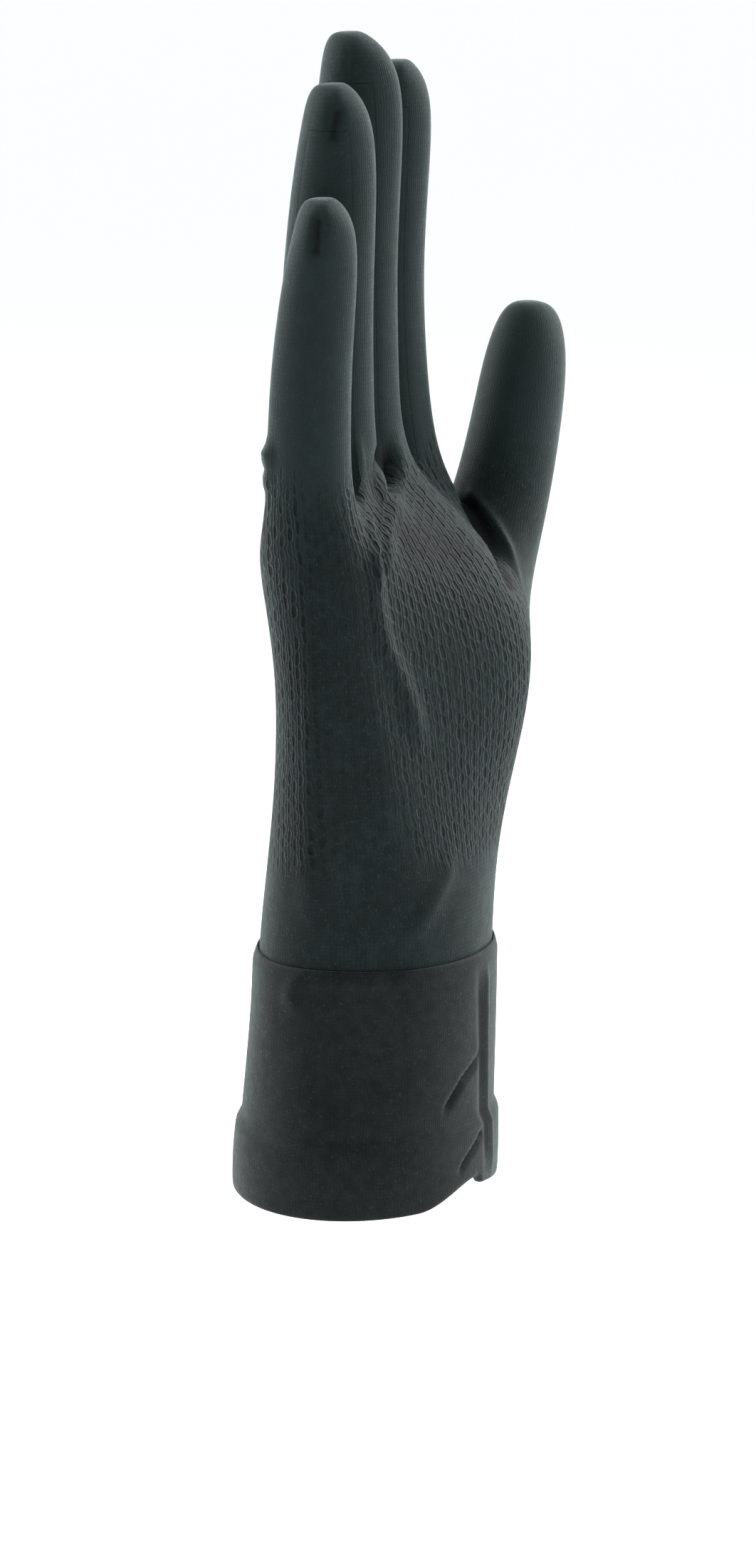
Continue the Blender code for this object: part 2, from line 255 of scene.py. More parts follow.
# The knit, as rows: a name, a sum and what it works on. A word among the values is an earlier
# row, an attribute or map of the piece, or a size that SilkKnit.material works out.
KNIT_SUMS = (
    ("wobble", "CLOUD", "place", 0.0, 260.0, 2.0),
    ("fibre", "CLOUD", "place", 0.0, 2600.0, 3.0),
    ("patch", "CLOUD", "place", 0.0, 70.0, 3.0),
    ("mottle", "CLOUD", "place", 0.0, 420.0, 4.0),
    ("fleck", "CLOUD", "place", 0.0, 1500.0, 1.0),
    # Wales, as ribs, crossed by the courses: each stitch is a small raised V.
    ("wobble", "SUBTRACT", "wobble", 0.5),
    ("across", "MULTIPLY_ADD", "wobble", 1.5, "across"),
    ("rib", "MULTIPLY", "across", "wale_turn"),
    ("rib", "SINE", "rib"),
    ("rib", "ABSOLUTE", "rib"),
    ("stitch", "MULTIPLY", "up", "course_turn"),
    ("stitch", "MULTIPLY_ADD", "rib", 0.9, "stitch"),
    ("stitch", "SINE", "stitch"),
    ("stitch", "ABSOLUTE", "stitch"),
    ("stitch", "MULTIPLY_ADD", "stitch", 0.55, 0.45),
    ("knit", "MULTIPLY", "rib", "stitch"),
    ("height", "MULTIPLY_ADD", "fibre", 0.8, "knit"),
    # The cloth is paler on its ribs, in patches and at single flecks of fibre.
    ("fleck", "EASE", "fleck", 0.64, 0.74, 0.0, 1.0),
    ("tone", "MULTIPLY", "patch", 0.55),
    ("tone", "MULTIPLY_ADD", "knit", 0.14, "tone"),
    ("tone", "MULTIPLY_ADD", "mottle", 0.55, "tone"),
    ("tone", "MULTIPLY_ADD", "fibre", 0.45, "tone"),
    ("tone", "MULTIPLY_ADD", "fleck", 0.5, "tone"),
    ("worn", "EASE", "tone", 0.55, 1.35, 0.0, 1.0),
    # From the finger roots up the cloth is painted paler: painted light on the upper glove.
    ("upper_light_share", "MULTIPLY", "painted_upper_light", 0.4),
    ("rough", "MULTIPLY_ADD", "patch", 0.16, "least_rough"),
    # Seams are dark, and creases are painted with shade.
    ("crease", "EASE", "seam", 0.05, 0.4, 0.12, 0.0),
    ("dark", "MULTIPLY", "painted_shade", 0.7),
    ("dark", "MAXIMUM", "crease", "dark"),
    # The sheen is stronger from the finger roots up, painted light on the upper glove, and weaker
    # in creases, painted shade.
    ("sheen", "MULTIPLY_ADD", "worn", 1.05, 0.5),
    ("gain", "MULTIPLY_ADD", "painted_upper_light", "half_weight", "weight"),
    ("sheen", "MULTIPLY", "sheen", "gain"),
    ("gain", "MULTIPLY_ADD", "painted_shade", -0.85, 1.0),
    ("sheen", "MULTIPLY", "sheen", "gain"),
)
# The slits of the relief knit, as rows that follow those.
SLIT_SUMS = (
    ("x", "DIVIDE", "across", "slit_across"),
    ("column", "FLOOR", "x"),
    ("x", "FRACT", "x"),
    ("x", "SUBTRACT", "x", 0.5),
    ("x", "MULTIPLY", "x", "per_breadth"),
    # Each column of slits lies half a slit higher than the last, and drifts a little.
    ("drift", "CLOUD", "place", 0.0, 420.0, 2.0),
    ("drift", "SUBTRACT", "drift", 0.5),
    ("drift", "MULTIPLY", "drift", 0.5),
    ("y", "DIVIDE", "up", "slit_along"),
    ("y", "MULTIPLY_ADD", "column", 0.5, "y"),
    ("y", "ADD", "y", "drift"),
    ("cell", "FLOOR", "y"),
    ("y", "FRACT", "y"),
    ("y", "SUBTRACT", "y", 0.5),
    ("y", "MULTIPLY", "y", "per_length"),
    # How far a point is from the middle of its slit, whose ends are rather square.
    ("x", "POWER", "x", 2.0),
    ("y", "ABSOLUTE", "y"),
    ("y", "POWER", "y", 2.6),
    ("away", "ADD", "x", "y"),
    ("away", "SQRT", "away"),
    # The slits open by chance, some wide and some hardly.
    ("cell", "CELL", "column", "cell"),
    ("open", "CHANCE", "cell"),
    ("open", "EASE", "open", -0.3, 0.9, 0.15, 1.0),
    ("slit", "EASE", "away", 0.55, 1.45, 1.0, 0.0),
    ("slit", "MULTIPLY", "slit", "open"),
    ("slit", "MULTIPLY", "slit", "relief"),
    # The cloth swells a little beside each slit.
    ("swell", "EASE", "away", 1.2, 2.4, 0.3, 0.0),
    ("swell", "MULTIPLY", "swell", "relief"),
    ("form", "SUBTRACT", "swell", "slit"),
    # Each slit is painted dark and loses most of its sheen: painted shade inside the slit, which is
    # a real opening in the knit.
    ("inside", "MULTIPLY", "slit", 0.75),
    ("dark", "MAXIMUM", "dark", "inside"),
    ("gain", "MULTIPLY_ADD", "slit", -0.95, 1.0),
    ("sheen", "MULTIPLY", "sheen", "gain"),
)


@dataclass(frozen=True)
class SilkKnit:
    """Silk jersey, knitted from spun silk yarn and dyed dark.

    Its short fibres stand up a little, so it is dull face on and takes a pale sheen at its
    edges. Pitches are in millimetres.
    """

    name: str
    ground: str = "#0d1515"
    worn: str = "#202c2c"
    # The paler colour from the finger roots up: painted light on the upper glove.
    upper_light_colour: str = "#2a3837"
    # The darkest colour: painted shade in creases and slits, which the seams also take.
    painted_shade: str = "#040506"
    sheen: str = "#cfe2df"
    sheen_weight: float = 0.30
    roughness: float = 0.66
    wale: float = 0.62
    course: float = 0.80
    knit_depth: float = 0.03
    slit_across: float = 2.15
    slit_along: float = 3.10
    slit_breadth: float = 0.52
    slit_length: float = 1.25
    slit_depth: float = 0.34
    slits: bool = False

    def material(self) -> Material:
        """Build the knit's material.

        Returns:
            The material, which reads the piece's "wales" map and its "seam", "nap", "hollow"
            and "relief" attributes.
        """
        # Silk jersey: a matt knit with fine wales, a sheen at grazing light and dark seams, with
        # painted shade in its creases and slits and painted light from the finger roots up.
        made = bpy.data.materials.new(self.name)
        made.use_nodes = True
        tree = made.node_tree
        tree.nodes.clear()
        wales = add_node(tree, "UVMap", uv_map="wales").outputs[0]
        split = add_node(tree, "SeparateXYZ", {0: wales}).outputs
        place = add_node(tree, "TexCoord").outputs["Object"]
        found = {
            "across": split[0], "up": split[1], "place": place,
            "wale_turn": math.pi / self.wale, "course_turn": math.pi / self.course,
            "least_rough": self.roughness - 0.08,
            "weight": self.sheen_weight, "half_weight": 0.5 * self.sheen_weight,
            "slit_across": self.slit_across, "per_breadth": self.slit_across / self.slit_breadth,
            "slit_along": self.slit_along, "per_length": self.slit_along / self.slit_length}
        for name in ("seam", "painted_upper_light", "painted_shade", "relief")[:4 if self.slits else 3]:
            found[name] = add_node(tree, "Attribute", attribute_name=name).outputs["Fac"]
        for name, work, *values in KNIT_SUMS + (SLIT_SUMS if self.slits else ()):
            kind, settings = SUM_NODES.get(work, ("Math", {"operation": work}))
            inputs = {i: found[v] if isinstance(v, str) else v for i, v in enumerate(values)}
            found[name] = add_node(tree, kind, inputs, **settings).outputs[0]
        normal = {}
        for form, depth in (("height", self.knit_depth), ("form", self.slit_depth)):
            if form in found:
                bump = add_node(tree, "Bump", {
                    "Strength": 1.0, "Distance": depth * MM, "Height": found[form], **normal})
                normal = {"Normal": bump.outputs[0]}
        tint = colour(self.ground)
        for share, code in (("worn", self.worn), ("upper_light_share", self.upper_light_colour), ("dark", self.painted_shade)):
            tint = add_node(tree, "Mix", {
                "Factor": found[share], 6: tint, 7: colour(code)}, data_type="RGBA").outputs[2]
        shader = add_node(tree, "BsdfPrincipled", {
            "Base Color": tint,
            "Roughness": found["rough"],
            "Metallic": 0.0,
            "Specular IOR Level": 0.14,
            "Sheen Weight": found["sheen"],
            "Sheen Roughness": 0.34,
            "Sheen Tint": colour(self.sheen),
            **normal})
        add_node(tree, "OutputMaterial", {"Surface": shader.outputs[0]})
        return made


FINISHES = {
    Knit.RELIEF: SilkKnit("silk_relief_knit", slits=True),
    Knit.FINE: SilkKnit("silk_fine_knit"),
    Knit.BAND: SilkKnit("silk_band_knit", ground="#0e1313", worn="#232929", wale=0.55, course=0.7,
                        knit_depth=0.025),
}


@dataclass
class Cage:
    """A mesh of quads that grows ring by ring, with its pattern pieces and wale map."""

    mesh: BMesh

    def ring(self, places: list[Vector]) -> list[BMVert]:
        """Start an open ring of corners.

        Args:
            places: The corners in order.

        Returns:
            The ring's vertices in order.
        """
        made = bmesh.ops.create_circle(self.mesh, cap_ends=False, radius=0.01,
                                       segments=len(places))["verts"]
        for vert, place in zip(made, places):
            vert.co = place
        return list(made)

    def edges(self, ring: list[BMVert]) -> list[BMEdge]:
        """The edges round a ring."""
        return [self.mesh.edges.get(pair) for pair in pairs(ring)]

    def grow(self, ring: list[BMVert], places: list[Vector]) -> list[BMVert]:
        """Extrude a ring to new places, and return the new ring in the same order."""
        return self.raised(self.edges(ring), ring, places)

    def raised(self, edges: list[BMEdge], corners: list[BMVert],
               places: list[Vector]) -> list[BMVert]:
        """Extrude edges.

        Args:
            edges: The edges.
            corners: Their corners.
            places: Where the new corners go, in the same order.

        Returns:
            The new corners in the same order.
        """
        made = bmesh.ops.extrude_edge_only(self.mesh, edges=edges)["geom"]
        fresh = {item for item in made if isinstance(item, BMVert)}
        upper = []
        for vert, place in zip(corners, places):
            new = next(edge.other_vert(vert) for edge in vert.link_edges
                       if edge.other_vert(vert) in fresh)
            new.co = place
            upper.append(new)
        return upper

    def cut(self, lower: list, upper: list, pieces: list[Piece], wales: Spans,
            heights: tuple[list[float], list[float]]) -> None:
        """Give the quads between two rings their pieces and wale map.

        Args:
            lower: The lower ring.
            upper: The upper ring.
            pieces: The pattern piece of each column.
            wales: Where each column starts and ends across the wales, in millimetres.
            heights: How far along the wales the corners of both rings are.
        """
        layer = self.mesh.loops.layers.uv["wales"]
        for i in range(len(lower)):
            corners = {ring[j]: (wales[i][end], height[j])
                       for ring, height in zip((lower, upper), heights)
                       for end, j in enumerate((i, (i + 1) % len(lower)))}
            face = next(f for f in upper[i].link_faces if set(f.verts) == set(corners))
            face.material_index = pieces[i].value
            for loop in face.loops:
                loop[layer].uv = corners[loop.vert]

    def close(self, face: BMFace, piece: Piece, axis: int) -> None:
        """Give a closing face its piece, and a wale map along X and another axis."""
        layer = self.mesh.loops.layers.uv["wales"]
        face.material_index = piece.value
        for loop in face.loops:
            loop[layer].uv = (loop.vert.co.x / MM, loop.vert.co[axis] / MM)

    def tube(self, ring: list, rows: list[list[Vector]], piece: Piece,
             wales: Spans) -> list[list]:
        """Grow a ring row by row, with its wale map measured from row to row.

        Args:
            ring: The ring to start from.
            rows: The places of each new ring.
            piece: Its pattern piece.
            wales: As for cut.

        Returns:
            All rings, with the one at the start.
        """
        rings, level = [ring], [0.0] * len(ring)
        for row in rows:
            lower, upper = rings[-1], self.grow(rings[-1], row)
            above = [low + (b.co - a.co).length / MM for low, a, b in zip(level, lower, upper)]
            self.cut(lower, upper, [piece] * len(ring), wales, (level, above))
            rings.append(upper)
            level = above
        return rings


@dataclass
class GloveForm:
    """The outside of the glove above the cuff. Its sizes are those of the CAD frame, in metres."""

    palm_length: float = 0.100
    palm_depth: float = 0.032
    wrist_breadth: float = 0.060
    wrist_depth: float = 0.046
    finger_length: float = 0.086
    finger_breadth: float = 0.0158
    finger_depth: float = 0.0164
    finger_gap: float = 0.0022
    palm_ease: float = 0.0019
    thumb_length: float = 0.061
    thumb_breadth: float = 0.0176
    foot: float = 0.046
    levels: int = 3
    growth: float = 1.108
    thumb_growth: float = 1.047
    heel_at: float = -0.80
    ball_at: float = 0.58
    hole_rows: tuple[int, int] = (4, 7)
    hole_columns: tuple[int, int] = (12, 15)
    hole_rounding: float = 0.22
    thumb_sideways: float = 0.07
    strip_ends_at: int = 4
    sections: tuple[Section, ...] = (
        Section(0.0, 0.0, 0.65, 0.79, 0.79, 2.1),
        Section(0.11, 0.06, 0.62, 0.8, 0.8, 2.1),
        Section(0.24, 0.25, 0.56, 0.72, 0.84, 2.2),
        Section(0.37, 0.52, 0.5, 0.62, 0.93, 2.3),
        Section(0.5, 0.76, 0.46, 0.54, 1.05, 2.4),
        Section(0.63, 0.92, 0.46, 0.47, 1.08, 2.4),
        Section(0.76, 1.0, 0.52, 0.41, 0.96, 2.5),
        Section(0.89, 1.02, 0.6, 0.34, 0.6, 2.5),
    )
    fingers: tuple[Finger, ...] = (
        Finger(0.7, 0.93, 0.88, 0.11, -0.03, -0.016, 0.064, 0.0, 1.04),
        Finger(0.91, 1.0, 1.02, 0.14, 0.0, -0.012, 0.03, 0.02, 1.06),
        Finger(1.0, 1.03, 1.02, 0.13, 0.01, 0.006, -0.002, 0.02, 1.4),
        Finger(0.94, 1.0, 0.98, 0.04, -0.01, 0.018, 0.022, 0.17, 1.08),
    )
    rings: tuple[Ring, ...] = (
        Ring(0.0, 1.02, 1.24, 1.11, 45),
        Ring(0.22, 0.99, 1.23, 1.05, 45),
        Ring(0.48, 0.96, 1.2, 1.02, 42),
        Ring(0.74, 0.94, 1.07, 1.05, 36),
        Ring(0.9, 0.9, 0.94, 0.91, 26),
        Ring(0.975, 0.66, 0.78, 0.44, 36),
    )
    cap: Ring = Ring(1.0, 0.32, 0.52, 0.04, 38)
    thumb_rings: tuple[ThumbRing, ...] = (
        ThumbRing(0.125, 0.155, 58, 1.22, 1.46),
        ThumbRing(0.222, 0.35, 36, 1.12, 1.18),
        ThumbRing(0.306, 0.58, 24, 1.04, 1.1),
        ThumbRing(0.37, 0.795, 14, 0.95, 1.02),
        ThumbRing(0.404, 0.94, 11, 0.66, 0.76),
        ThumbRing(0.411, 0.975, 6, 0.26, 0.32),
    )

    def finger_row(self) -> float:
        """Breadth of the four finger roots side by side, with the gaps between them."""
        return sum(f.breadth * self.finger_breadth for f in self.fingers) + 3 * self.finger_gap

    def half_palm(self) -> float:
        """Half the palm's breadth at the knuckles."""
        return 0.5 * self.finger_row() + self.palm_ease

    def root_across(self, finger: Finger) -> float:
        """How far a finger's root lies from the middle of the palm, to the thumb side."""
        before = self.fingers[:self.fingers.index(finger)]
        start = sum(f.breadth * self.finger_breadth + self.finger_gap for f in before)
        return start + 0.5 * (finger.breadth * self.finger_breadth - self.finger_row())

    def finger_ring(self, finger: Finger, ring: Ring) -> list[Vector]:
        """Eight corners round a finger.

        Args:
            finger: The finger.
            ring: The ring on it.

        Returns:
            The corners from the back's little finger side round by the thumb side.
        """
        swell = 1.0 + (finger.blunt - 1.0) * smooth((ring.along - 0.6) / 0.3)
        half_x = 0.5 * finger.breadth * self.finger_breadth * ring.broad * self.growth
        half_y = 0.5 * finger.depth * self.finger_depth * self.growth
        back, pad = half_y * ring.back, half_y * ring.pad * swell
        rise = ring.along * finger.length * self.finger_length
        sway = finger.sway * self.finger_depth * math.sin(math.pi * ring.along)
        middle = Vector((
            self.root_across(finger) + finger.lean * rise,
            finger.back * self.palm_depth - finger.bend * rise * ring.along + sway,
            self.foot + self.palm_length + finger.root * self.finger_length + rise,
        ))
        strip = ring.strip
        angles = (180 - strip, 90, strip, 0, -strip, -90, strip - 180, 180)
        turns = [math.radians(angle) for angle in angles]
        return [middle + Vector((half_x * math.cos(t),
                                 (back if math.sin(t) > 0.0 else pad) * math.sin(t), 0.0))
                for t in turns]

    def ring_shares(self) -> list[tuple[float, int]]:
        """The corners of the palm ring: their shares across and whether on the back."""
        back = []
        for finger in self.fingers:
            middle = self.root_across(finger) / self.half_palm()
            reach = 0.5 * finger.breadth * self.finger_breadth * math.sqrt(0.5) / self.half_palm()
            back += [middle - reach, middle, middle + reach]
        return ([(share, 1) for share in back] + [(1.0, 0)]
                + [(share, -1) for share in reversed(back)] + [(-1.0, 0)])

    def palm_ring(self, section: Section) -> list[Vector]:
        """The corners of one palm section, from the back's little finger side."""
        half = 0.5 * self.wrist_breadth
        half += (self.half_palm() - half) * section.breadth
        narrow = 1.0 - smooth(section.height / 0.4)
        deep = self.palm_depth + (self.wrist_depth * 0.7 - self.palm_depth) * narrow
        corners = []
        for share, side in self.ring_shares():
            share = max(-1.0, min(1.0, share))
            rounding = (1.0 - abs(share) ** section.square) ** (1.0 / section.square)
            if side > 0:
                y = section.back * deep * rounding
            elif side < 0:
                slant = smooth((share - self.heel_at) / (self.ball_at - self.heel_at))
                y = -(section.heel + (section.ball - section.heel) * slant) * deep * rounding
            else:
                y = -0.10 * deep if share > 0 else 0.05 * deep
            corners.append(Vector((share * half, y, self.foot + section.height * self.palm_length)))
        return corners

    def root_ring(self) -> list[Vector]:
        """The top of the palm: the outer corners of the four finger roots."""
        roots = [self.finger_ring(finger, self.rings[0]) for finger in self.fingers]
        back = [corner for root in roots for corner in root[0:3]]
        palm = [corner for root in roots for corner in (root[6], root[5], root[4])]
        return back + [roots[-1][3]] + palm[::-1] + [roots[0][7]]

    def palm_wales(self) -> Spans:
        """Where each palm column starts and ends across the wales, in millimetres.

        Returns:
            The places, stretched a little so that the slits meet where the ring closes.
        """
        wales = around(self.palm_ring(self.sections[6]))
        girth = wales[-1][1]
        pitch = 2.0 * FINISHES[Knit.RELIEF].slit_across
        stretch = round(girth / pitch) * pitch / girth
        return [(start * stretch, end * stretch) for start, end in wales]

    def palm(self, cage: Cage) -> tuple[list, Vector, Vector]:
        """Grow the wrist and palm.

        Args:
            cage: The cage to build in.

        Returns:
            The rows of corners, and the thumb hole's middle and outward direction.
        """
        rows = [self.palm_ring(section) for section in self.sections] + [self.root_ring()]
        low, high = self.hole_rows
        left, right = self.hole_columns
        places = [(low, left), (low, right), (high, right), (high, left)]
        middle = sum((rows[r][c] for r, c in places), Vector()) / 4.0
        for row, column in places:
            rows[row][column] = rows[row][column].lerp(middle, self.hole_rounding)
        along = rows[high][left] - rows[low][left]
        outward = along.cross(rows[low][right] - rows[low][left]).normalized()
        grid = cage.tube(cage.ring(rows[0]), rows[1:], Piece.HAND, self.palm_wales())
        hole = {grid[r][c] for r in range(low, high + 1) for c in range(left, right + 1)}
        faces = [f for f in cage.mesh.faces if set(f.verts) <= hole]
        bmesh.ops.delete(cage.mesh, geom=faces, context="FACES")
        return grid, middle, outward

    def webs(self, cage: Cage, top: list) -> list[list]:
        """Fill the webs between the finger roots.

        Args:
            cage: The cage to build in.
            top: The palm's top ring.

        Returns:
            The ring of eight corners at each finger's root.
        """
        last = len(self.fingers) - 1
        half = len(top) // 2
        sides = {}
        for k in range(last):
            near, far = (self.finger_ring(f, self.rings[0]) for f in self.fingers[k:k + 2])
            back = cage.mesh.edges.get((top[3 * k + 2], top[3 * k + 3]))
            palm = cage.mesh.edges.get((top[half + 3 * (last - k)], top[half + 3 * (last - k) - 1]))
            ends = cage.raised([back], top[3 * k + 2:3 * k + 4], [near[3], far[7]])
            sides[(k, "thumb")], sides[(k + 1, "little")] = ends
            ridge = cage.mesh.edges.get(ends)
            bmesh.ops.contextual_create(cage.mesh, geom=[ridge, palm])
            for face in ridge.link_faces:
                cage.close(face, Piece(k + 1), 1)
        roots = []
        for k in range(last + 1):
            first = half + 3 * (last - k)
            thumb_side = sides.get((k, "thumb"), top[half - 1])
            little_side = sides.get((k, "little"), top[-1])
            roots.append(top[3 * k:3 * k + 3] + [thumb_side] + top[first:first + 3] + [little_side])
        return roots

    def finger_pieces(self, k: int, ring: int) -> list[Piece]:
        """The pattern piece of each column below one ring of a finger."""
        strips = (k, (k + 1) % 4) if ring <= self.strip_ends_at else (0, 0)
        hand, left, right = (Piece(number) for number in (0, *strips))
        return [hand, hand, right, right, hand, hand, left, left]

    def finger(self, cage: Cage, k: int, ring: list) -> None:
        """Grow one finger and close its tip.

        Args:
            cage: The cage to build in.
            k: The finger's number from the little finger.
            ring: The corners at its root.
        """
        finger = self.fingers[k]
        palm = self.palm_wales()
        back, front = palm[3 * k:3 * k + 2], palm[13 + 3 * (3 - k):15 + 3 * (3 - k)]
        quarter = 0.125 * math.pi * (self.finger_breadth + self.finger_depth) / MM
        across = back[1][1]
        inner = palm[25][1] + back[0][0] - quarter if k == 0 else front[1][1]
        wales = [*back, (across, across + quarter), (across + quarter, across + 2 * quarter),
                 *front, (inner, inner + quarter), (inner + quarter, inner + 2 * quarter)]
        if k == 0:
            wales[6], wales[7] = palm[24], palm[25]
        if k == 3:
            wales[2], wales[3] = palm[11], palm[12]
        for index, place in enumerate([*self.rings[1:], self.cap], start=1):
            upper = cage.grow(ring, self.finger_ring(finger, place))
            heights = ([v.co.z / MM for v in ring], [v.co.z / MM for v in upper])
            cage.cut(ring, upper, self.finger_pieces(k, index), wales, heights)
            for column in (3, 7) if self.strip_ends_at < index < len(self.rings) else ():
                cage.mesh.edges.get((ring[column], upper[column])).seam = True
            ring = upper
        made = bmesh.ops.contextual_create(cage.mesh, geom=cage.edges(ring))["faces"]
        split = bmesh.utils.face_split(made[0], ring[3], ring[7])
        for face in (made[0], split[0]):
            cage.close(face, Piece.HAND, 2)

    def hole_loop(self) -> list[tuple[int, int]]:
        """Grid places round the thumb hole, from the low corner on the side of the glove."""
        low, high = self.hole_rows
        left, right = self.hole_columns
        loop = [(low, c) for c in range(left, right)]
        loop += [(r, right) for r in range(low, high)]
        loop += [(high, c) for c in range(right, left, -1)]
        return loop + [(r, left) for r in range(high, low, -1)]

    def thumb_ring(self, middle: Vector, outward: Vector, ring: ThumbRing) -> list[Vector]:
        """The corners of one ring of the thumb.

        Args:
            middle: The middle of the thumb hole.
            outward: The way out of it.
            ring: The ring.

        Returns:
            The corners from its side to the back of the hand and low.
        """
        side = Vector((-outward.y, outward.x, 0.0)).normalized()
        flat = Vector((outward.x, outward.y, 0.0)).normalized()
        up = Vector((0.0, 0.0, 1.0))
        rise = ring.up * self.thumb_length
        centre = (middle + flat * ring.out * self.thumb_length + up * rise
                  + side * self.thumb_sideways * rise)
        tilt = math.radians(ring.tilt)
        inner = up * math.sin(tilt) - flat * math.cos(tilt)
        half_broad = 0.5 * self.thumb_breadth * ring.broad * self.thumb_growth
        half_deep = 0.5 * self.thumb_breadth * ring.deep * self.thumb_growth
        turns = [math.radians(-45 - 360 / THUMB_COLUMNS * step) for step in range(THUMB_COLUMNS)]
        return [centre + side * half_broad * math.cos(t) + inner * half_deep * math.sin(t)
                for t in turns]

    def thumb(self, cage: Cage, grid: list, middle: Vector, outward: Vector) -> None:
        """Grow the set-in thumb out of its hole.

        Args:
            cage: The cage to build in.
            grid: The palm's rows of corners.
            middle: The middle of the thumb hole.
            outward: The way out of it.
        """
        ring = [grid[row][column] for row, column in self.hole_loop()]
        arc = math.pi * self.thumb_breadth / THUMB_COLUMNS / MM
        wales = [(arc * i, arc * (i + 1)) for i in range(THUMB_COLUMNS)]
        rows = [self.thumb_ring(middle, outward, place) for place in self.thumb_rings]
        top = cage.tube(ring, rows, Piece.THUMB, wales)[-1]
        cap = bmesh.ops.contextual_create(cage.mesh, geom=cage.edges(top))["faces"][0]
        cage.close(cap, Piece.THUMB, 1)

    def skin(self) -> BMesh:
        """The smoothed outside of the glove, with seams where its pieces meet.

        Returns:
            A mesh whose material index is the pattern piece.
        """
        mesh = bmesh.new()
        mesh.loops.layers.uv.new("wales")
        cage = Cage(mesh)
        grid, middle, outward = self.palm(cage)
        for k, root in enumerate(self.webs(cage, grid[-1])):
            self.finger(cage, k, root)
        self.thumb(cage, grid, middle, outward)
        bmesh.ops.recalc_face_normals(mesh, faces=mesh.faces)
        form = placed(mesh, "glove_form")
        levels = form.modifiers.new("Smooth", "SUBSURF")
        levels.levels = self.levels
        levels.render_levels = self.levels
        smoothed = bmesh.new()
        graph = bpy.context.evaluated_depsgraph_get()
        smoothed.from_mesh(form.evaluated_get(graph).to_mesh())
        bpy.data.objects.remove(form, do_unlink=True)
        for edge in smoothed.edges:
            if len({face.material_index for face in edge.link_faces}) == 2:
                edge.seam = True
        smoothed.normal_update()
        return smoothed


@dataclass
class Drape:
    """How the cloth of the hand lies: its seams draw in and its folds stand out."""

    seam_depth: float = 0.03
    seam_ridge: float = 0.03
    relief_from: float = 66.0
    relief_to: float = 142.0
    relief_fade: tuple[float, float] = (9.0, 12.0)
    # From this height up the cloth is painted lighter and takes more sheen: painted light on the
    # upper glove.
    upper_light_from: float = 138.0
    upper_light_fade: float = 14.0
    flank: tuple[float, float, float] = (-0.86, -0.51, 0.0)
    folds: tuple[Fold, ...] = ()

    def seam_distance(self, skin: BMesh) -> np.ndarray:
        """How far each vertex is from the nearest seam, in millimetres, up to 6."""
        edges = [edge for edge in skin.edges if edge.seam]
        tree = KDTree(len(edges) * 3)
        for number, edge in enumerate(edges):
            a, b = (vert.co for vert in edge.verts)
            for step, place in enumerate((a, b, (a + b) / 2)):
                tree.insert(place, 3 * number + step)
        tree.balance()
        return np.array([min(tree.find(vert.co)[2] / MM, 6.0) for vert in skin.verts])

    def shape(self, skin: BMesh) -> None:
        """Move the skin into its folds and seams, and note for the finishes the seams, the slits,
        the painted shade in the creases and the painted light from the finger roots up.

        Args:
            skin: The smoothed outside of the glove.
        """
        places = np.array([vert.co for vert in skin.verts])
        normals = np.array([vert.normal for vert in skin.verts])
        away = self.seam_distance(skin)
        groove = -self.seam_depth * np.exp(-(away / 0.45) ** 2)
        ridge = self.seam_ridge * np.exp(-((away - 1.1) / 0.75) ** 2)
        lift = sum(fold.lift(places, normals) for fold in self.folds)
        places = places + normals * ((groove + ridge) * MM + lift)[:, None]
        height = places[:, 2] / MM
        zone = eased((height - self.relief_from) / self.relief_fade[0])
        zone *= 1.0 - 0.96 * eased((height - self.relief_to) / self.relief_fade[1])
        # Along the little finger's side the cloth is drawn taut, and its slits close.
        taut = eased((normals @ np.array(self.flank) - 0.74) / 0.22)
        zone *= 1.0 - 0.72 * taut
        # The creases are painted with shade as deep as they sink, and the cloth is painted lighter
        # from the finger roots up.
        notes = {"seam": away, "relief": zone,
                 "painted_upper_light": eased((height - self.upper_light_from) / self.upper_light_fade),
                 "painted_shade": eased(-lift / (FULL_SHADE_DEPTH * MM))}
        for name, shares in notes.items():
            layer = skin.verts.layers.float.new(name)
            for vert, share in zip(skin.verts, shares):
                vert[layer] = share
        for vert, place in zip(skin.verts, places):
            vert.co = place
        skin.normal_update()


class Sewn:
    """A part of the glove, whose object is called after its CAD node."""

    def dress(self, made: Object, finish: Material) -> None:
        """Give the part its finish and tie it to the frame."""
        node = made.name.removesuffix("_knit")
        made.data.materials.clear()
        made.data.materials.append(finish)
        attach(made, "root")
        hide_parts(node)


@dataclass
class KnitPiece(Sewn):
    """A pattern piece of the glove, cut from the skin and given its wall."""

    piece: Piece
    knit: Knit
    wall: float = 0.0008
    ease: float = 0.00003

    def build(self, skin: BMesh) -> Object:
        """Cut the piece out of the skin.

        Args:
            skin: The shaped outside of the glove.

        Returns:
            The piece as an object.
        """
        cut = skin.copy()
        others = [f for f in cut.faces if f.material_index != self.piece.value]
        bmesh.ops.delete(cut, geom=others, context="FACES")
        inward = {}
        for edge in cut.edges:
            if edge.is_boundary:
                middle = (edge.verts[0].co + edge.verts[1].co) / 2
                way = (edge.link_faces[0].calc_center_median() - middle).normalized()
                for vert in edge.verts:
                    inward[vert] = inward.get(vert, Vector()) + way
        for vert, way in inward.items():
            vert.co += way.normalized() * self.ease
        for edge in cut.edges:
            edge.smooth = not edge.is_boundary
        for face in cut.faces:
            face.material_index = 0
            face.smooth = True
        made = placed(cut, self.piece.name.lower() + "_knit")
        wall = made.modifiers.new("Wall", "SOLIDIFY")
        wall.thickness = self.wall
        wall.offset = -1.0
        return made


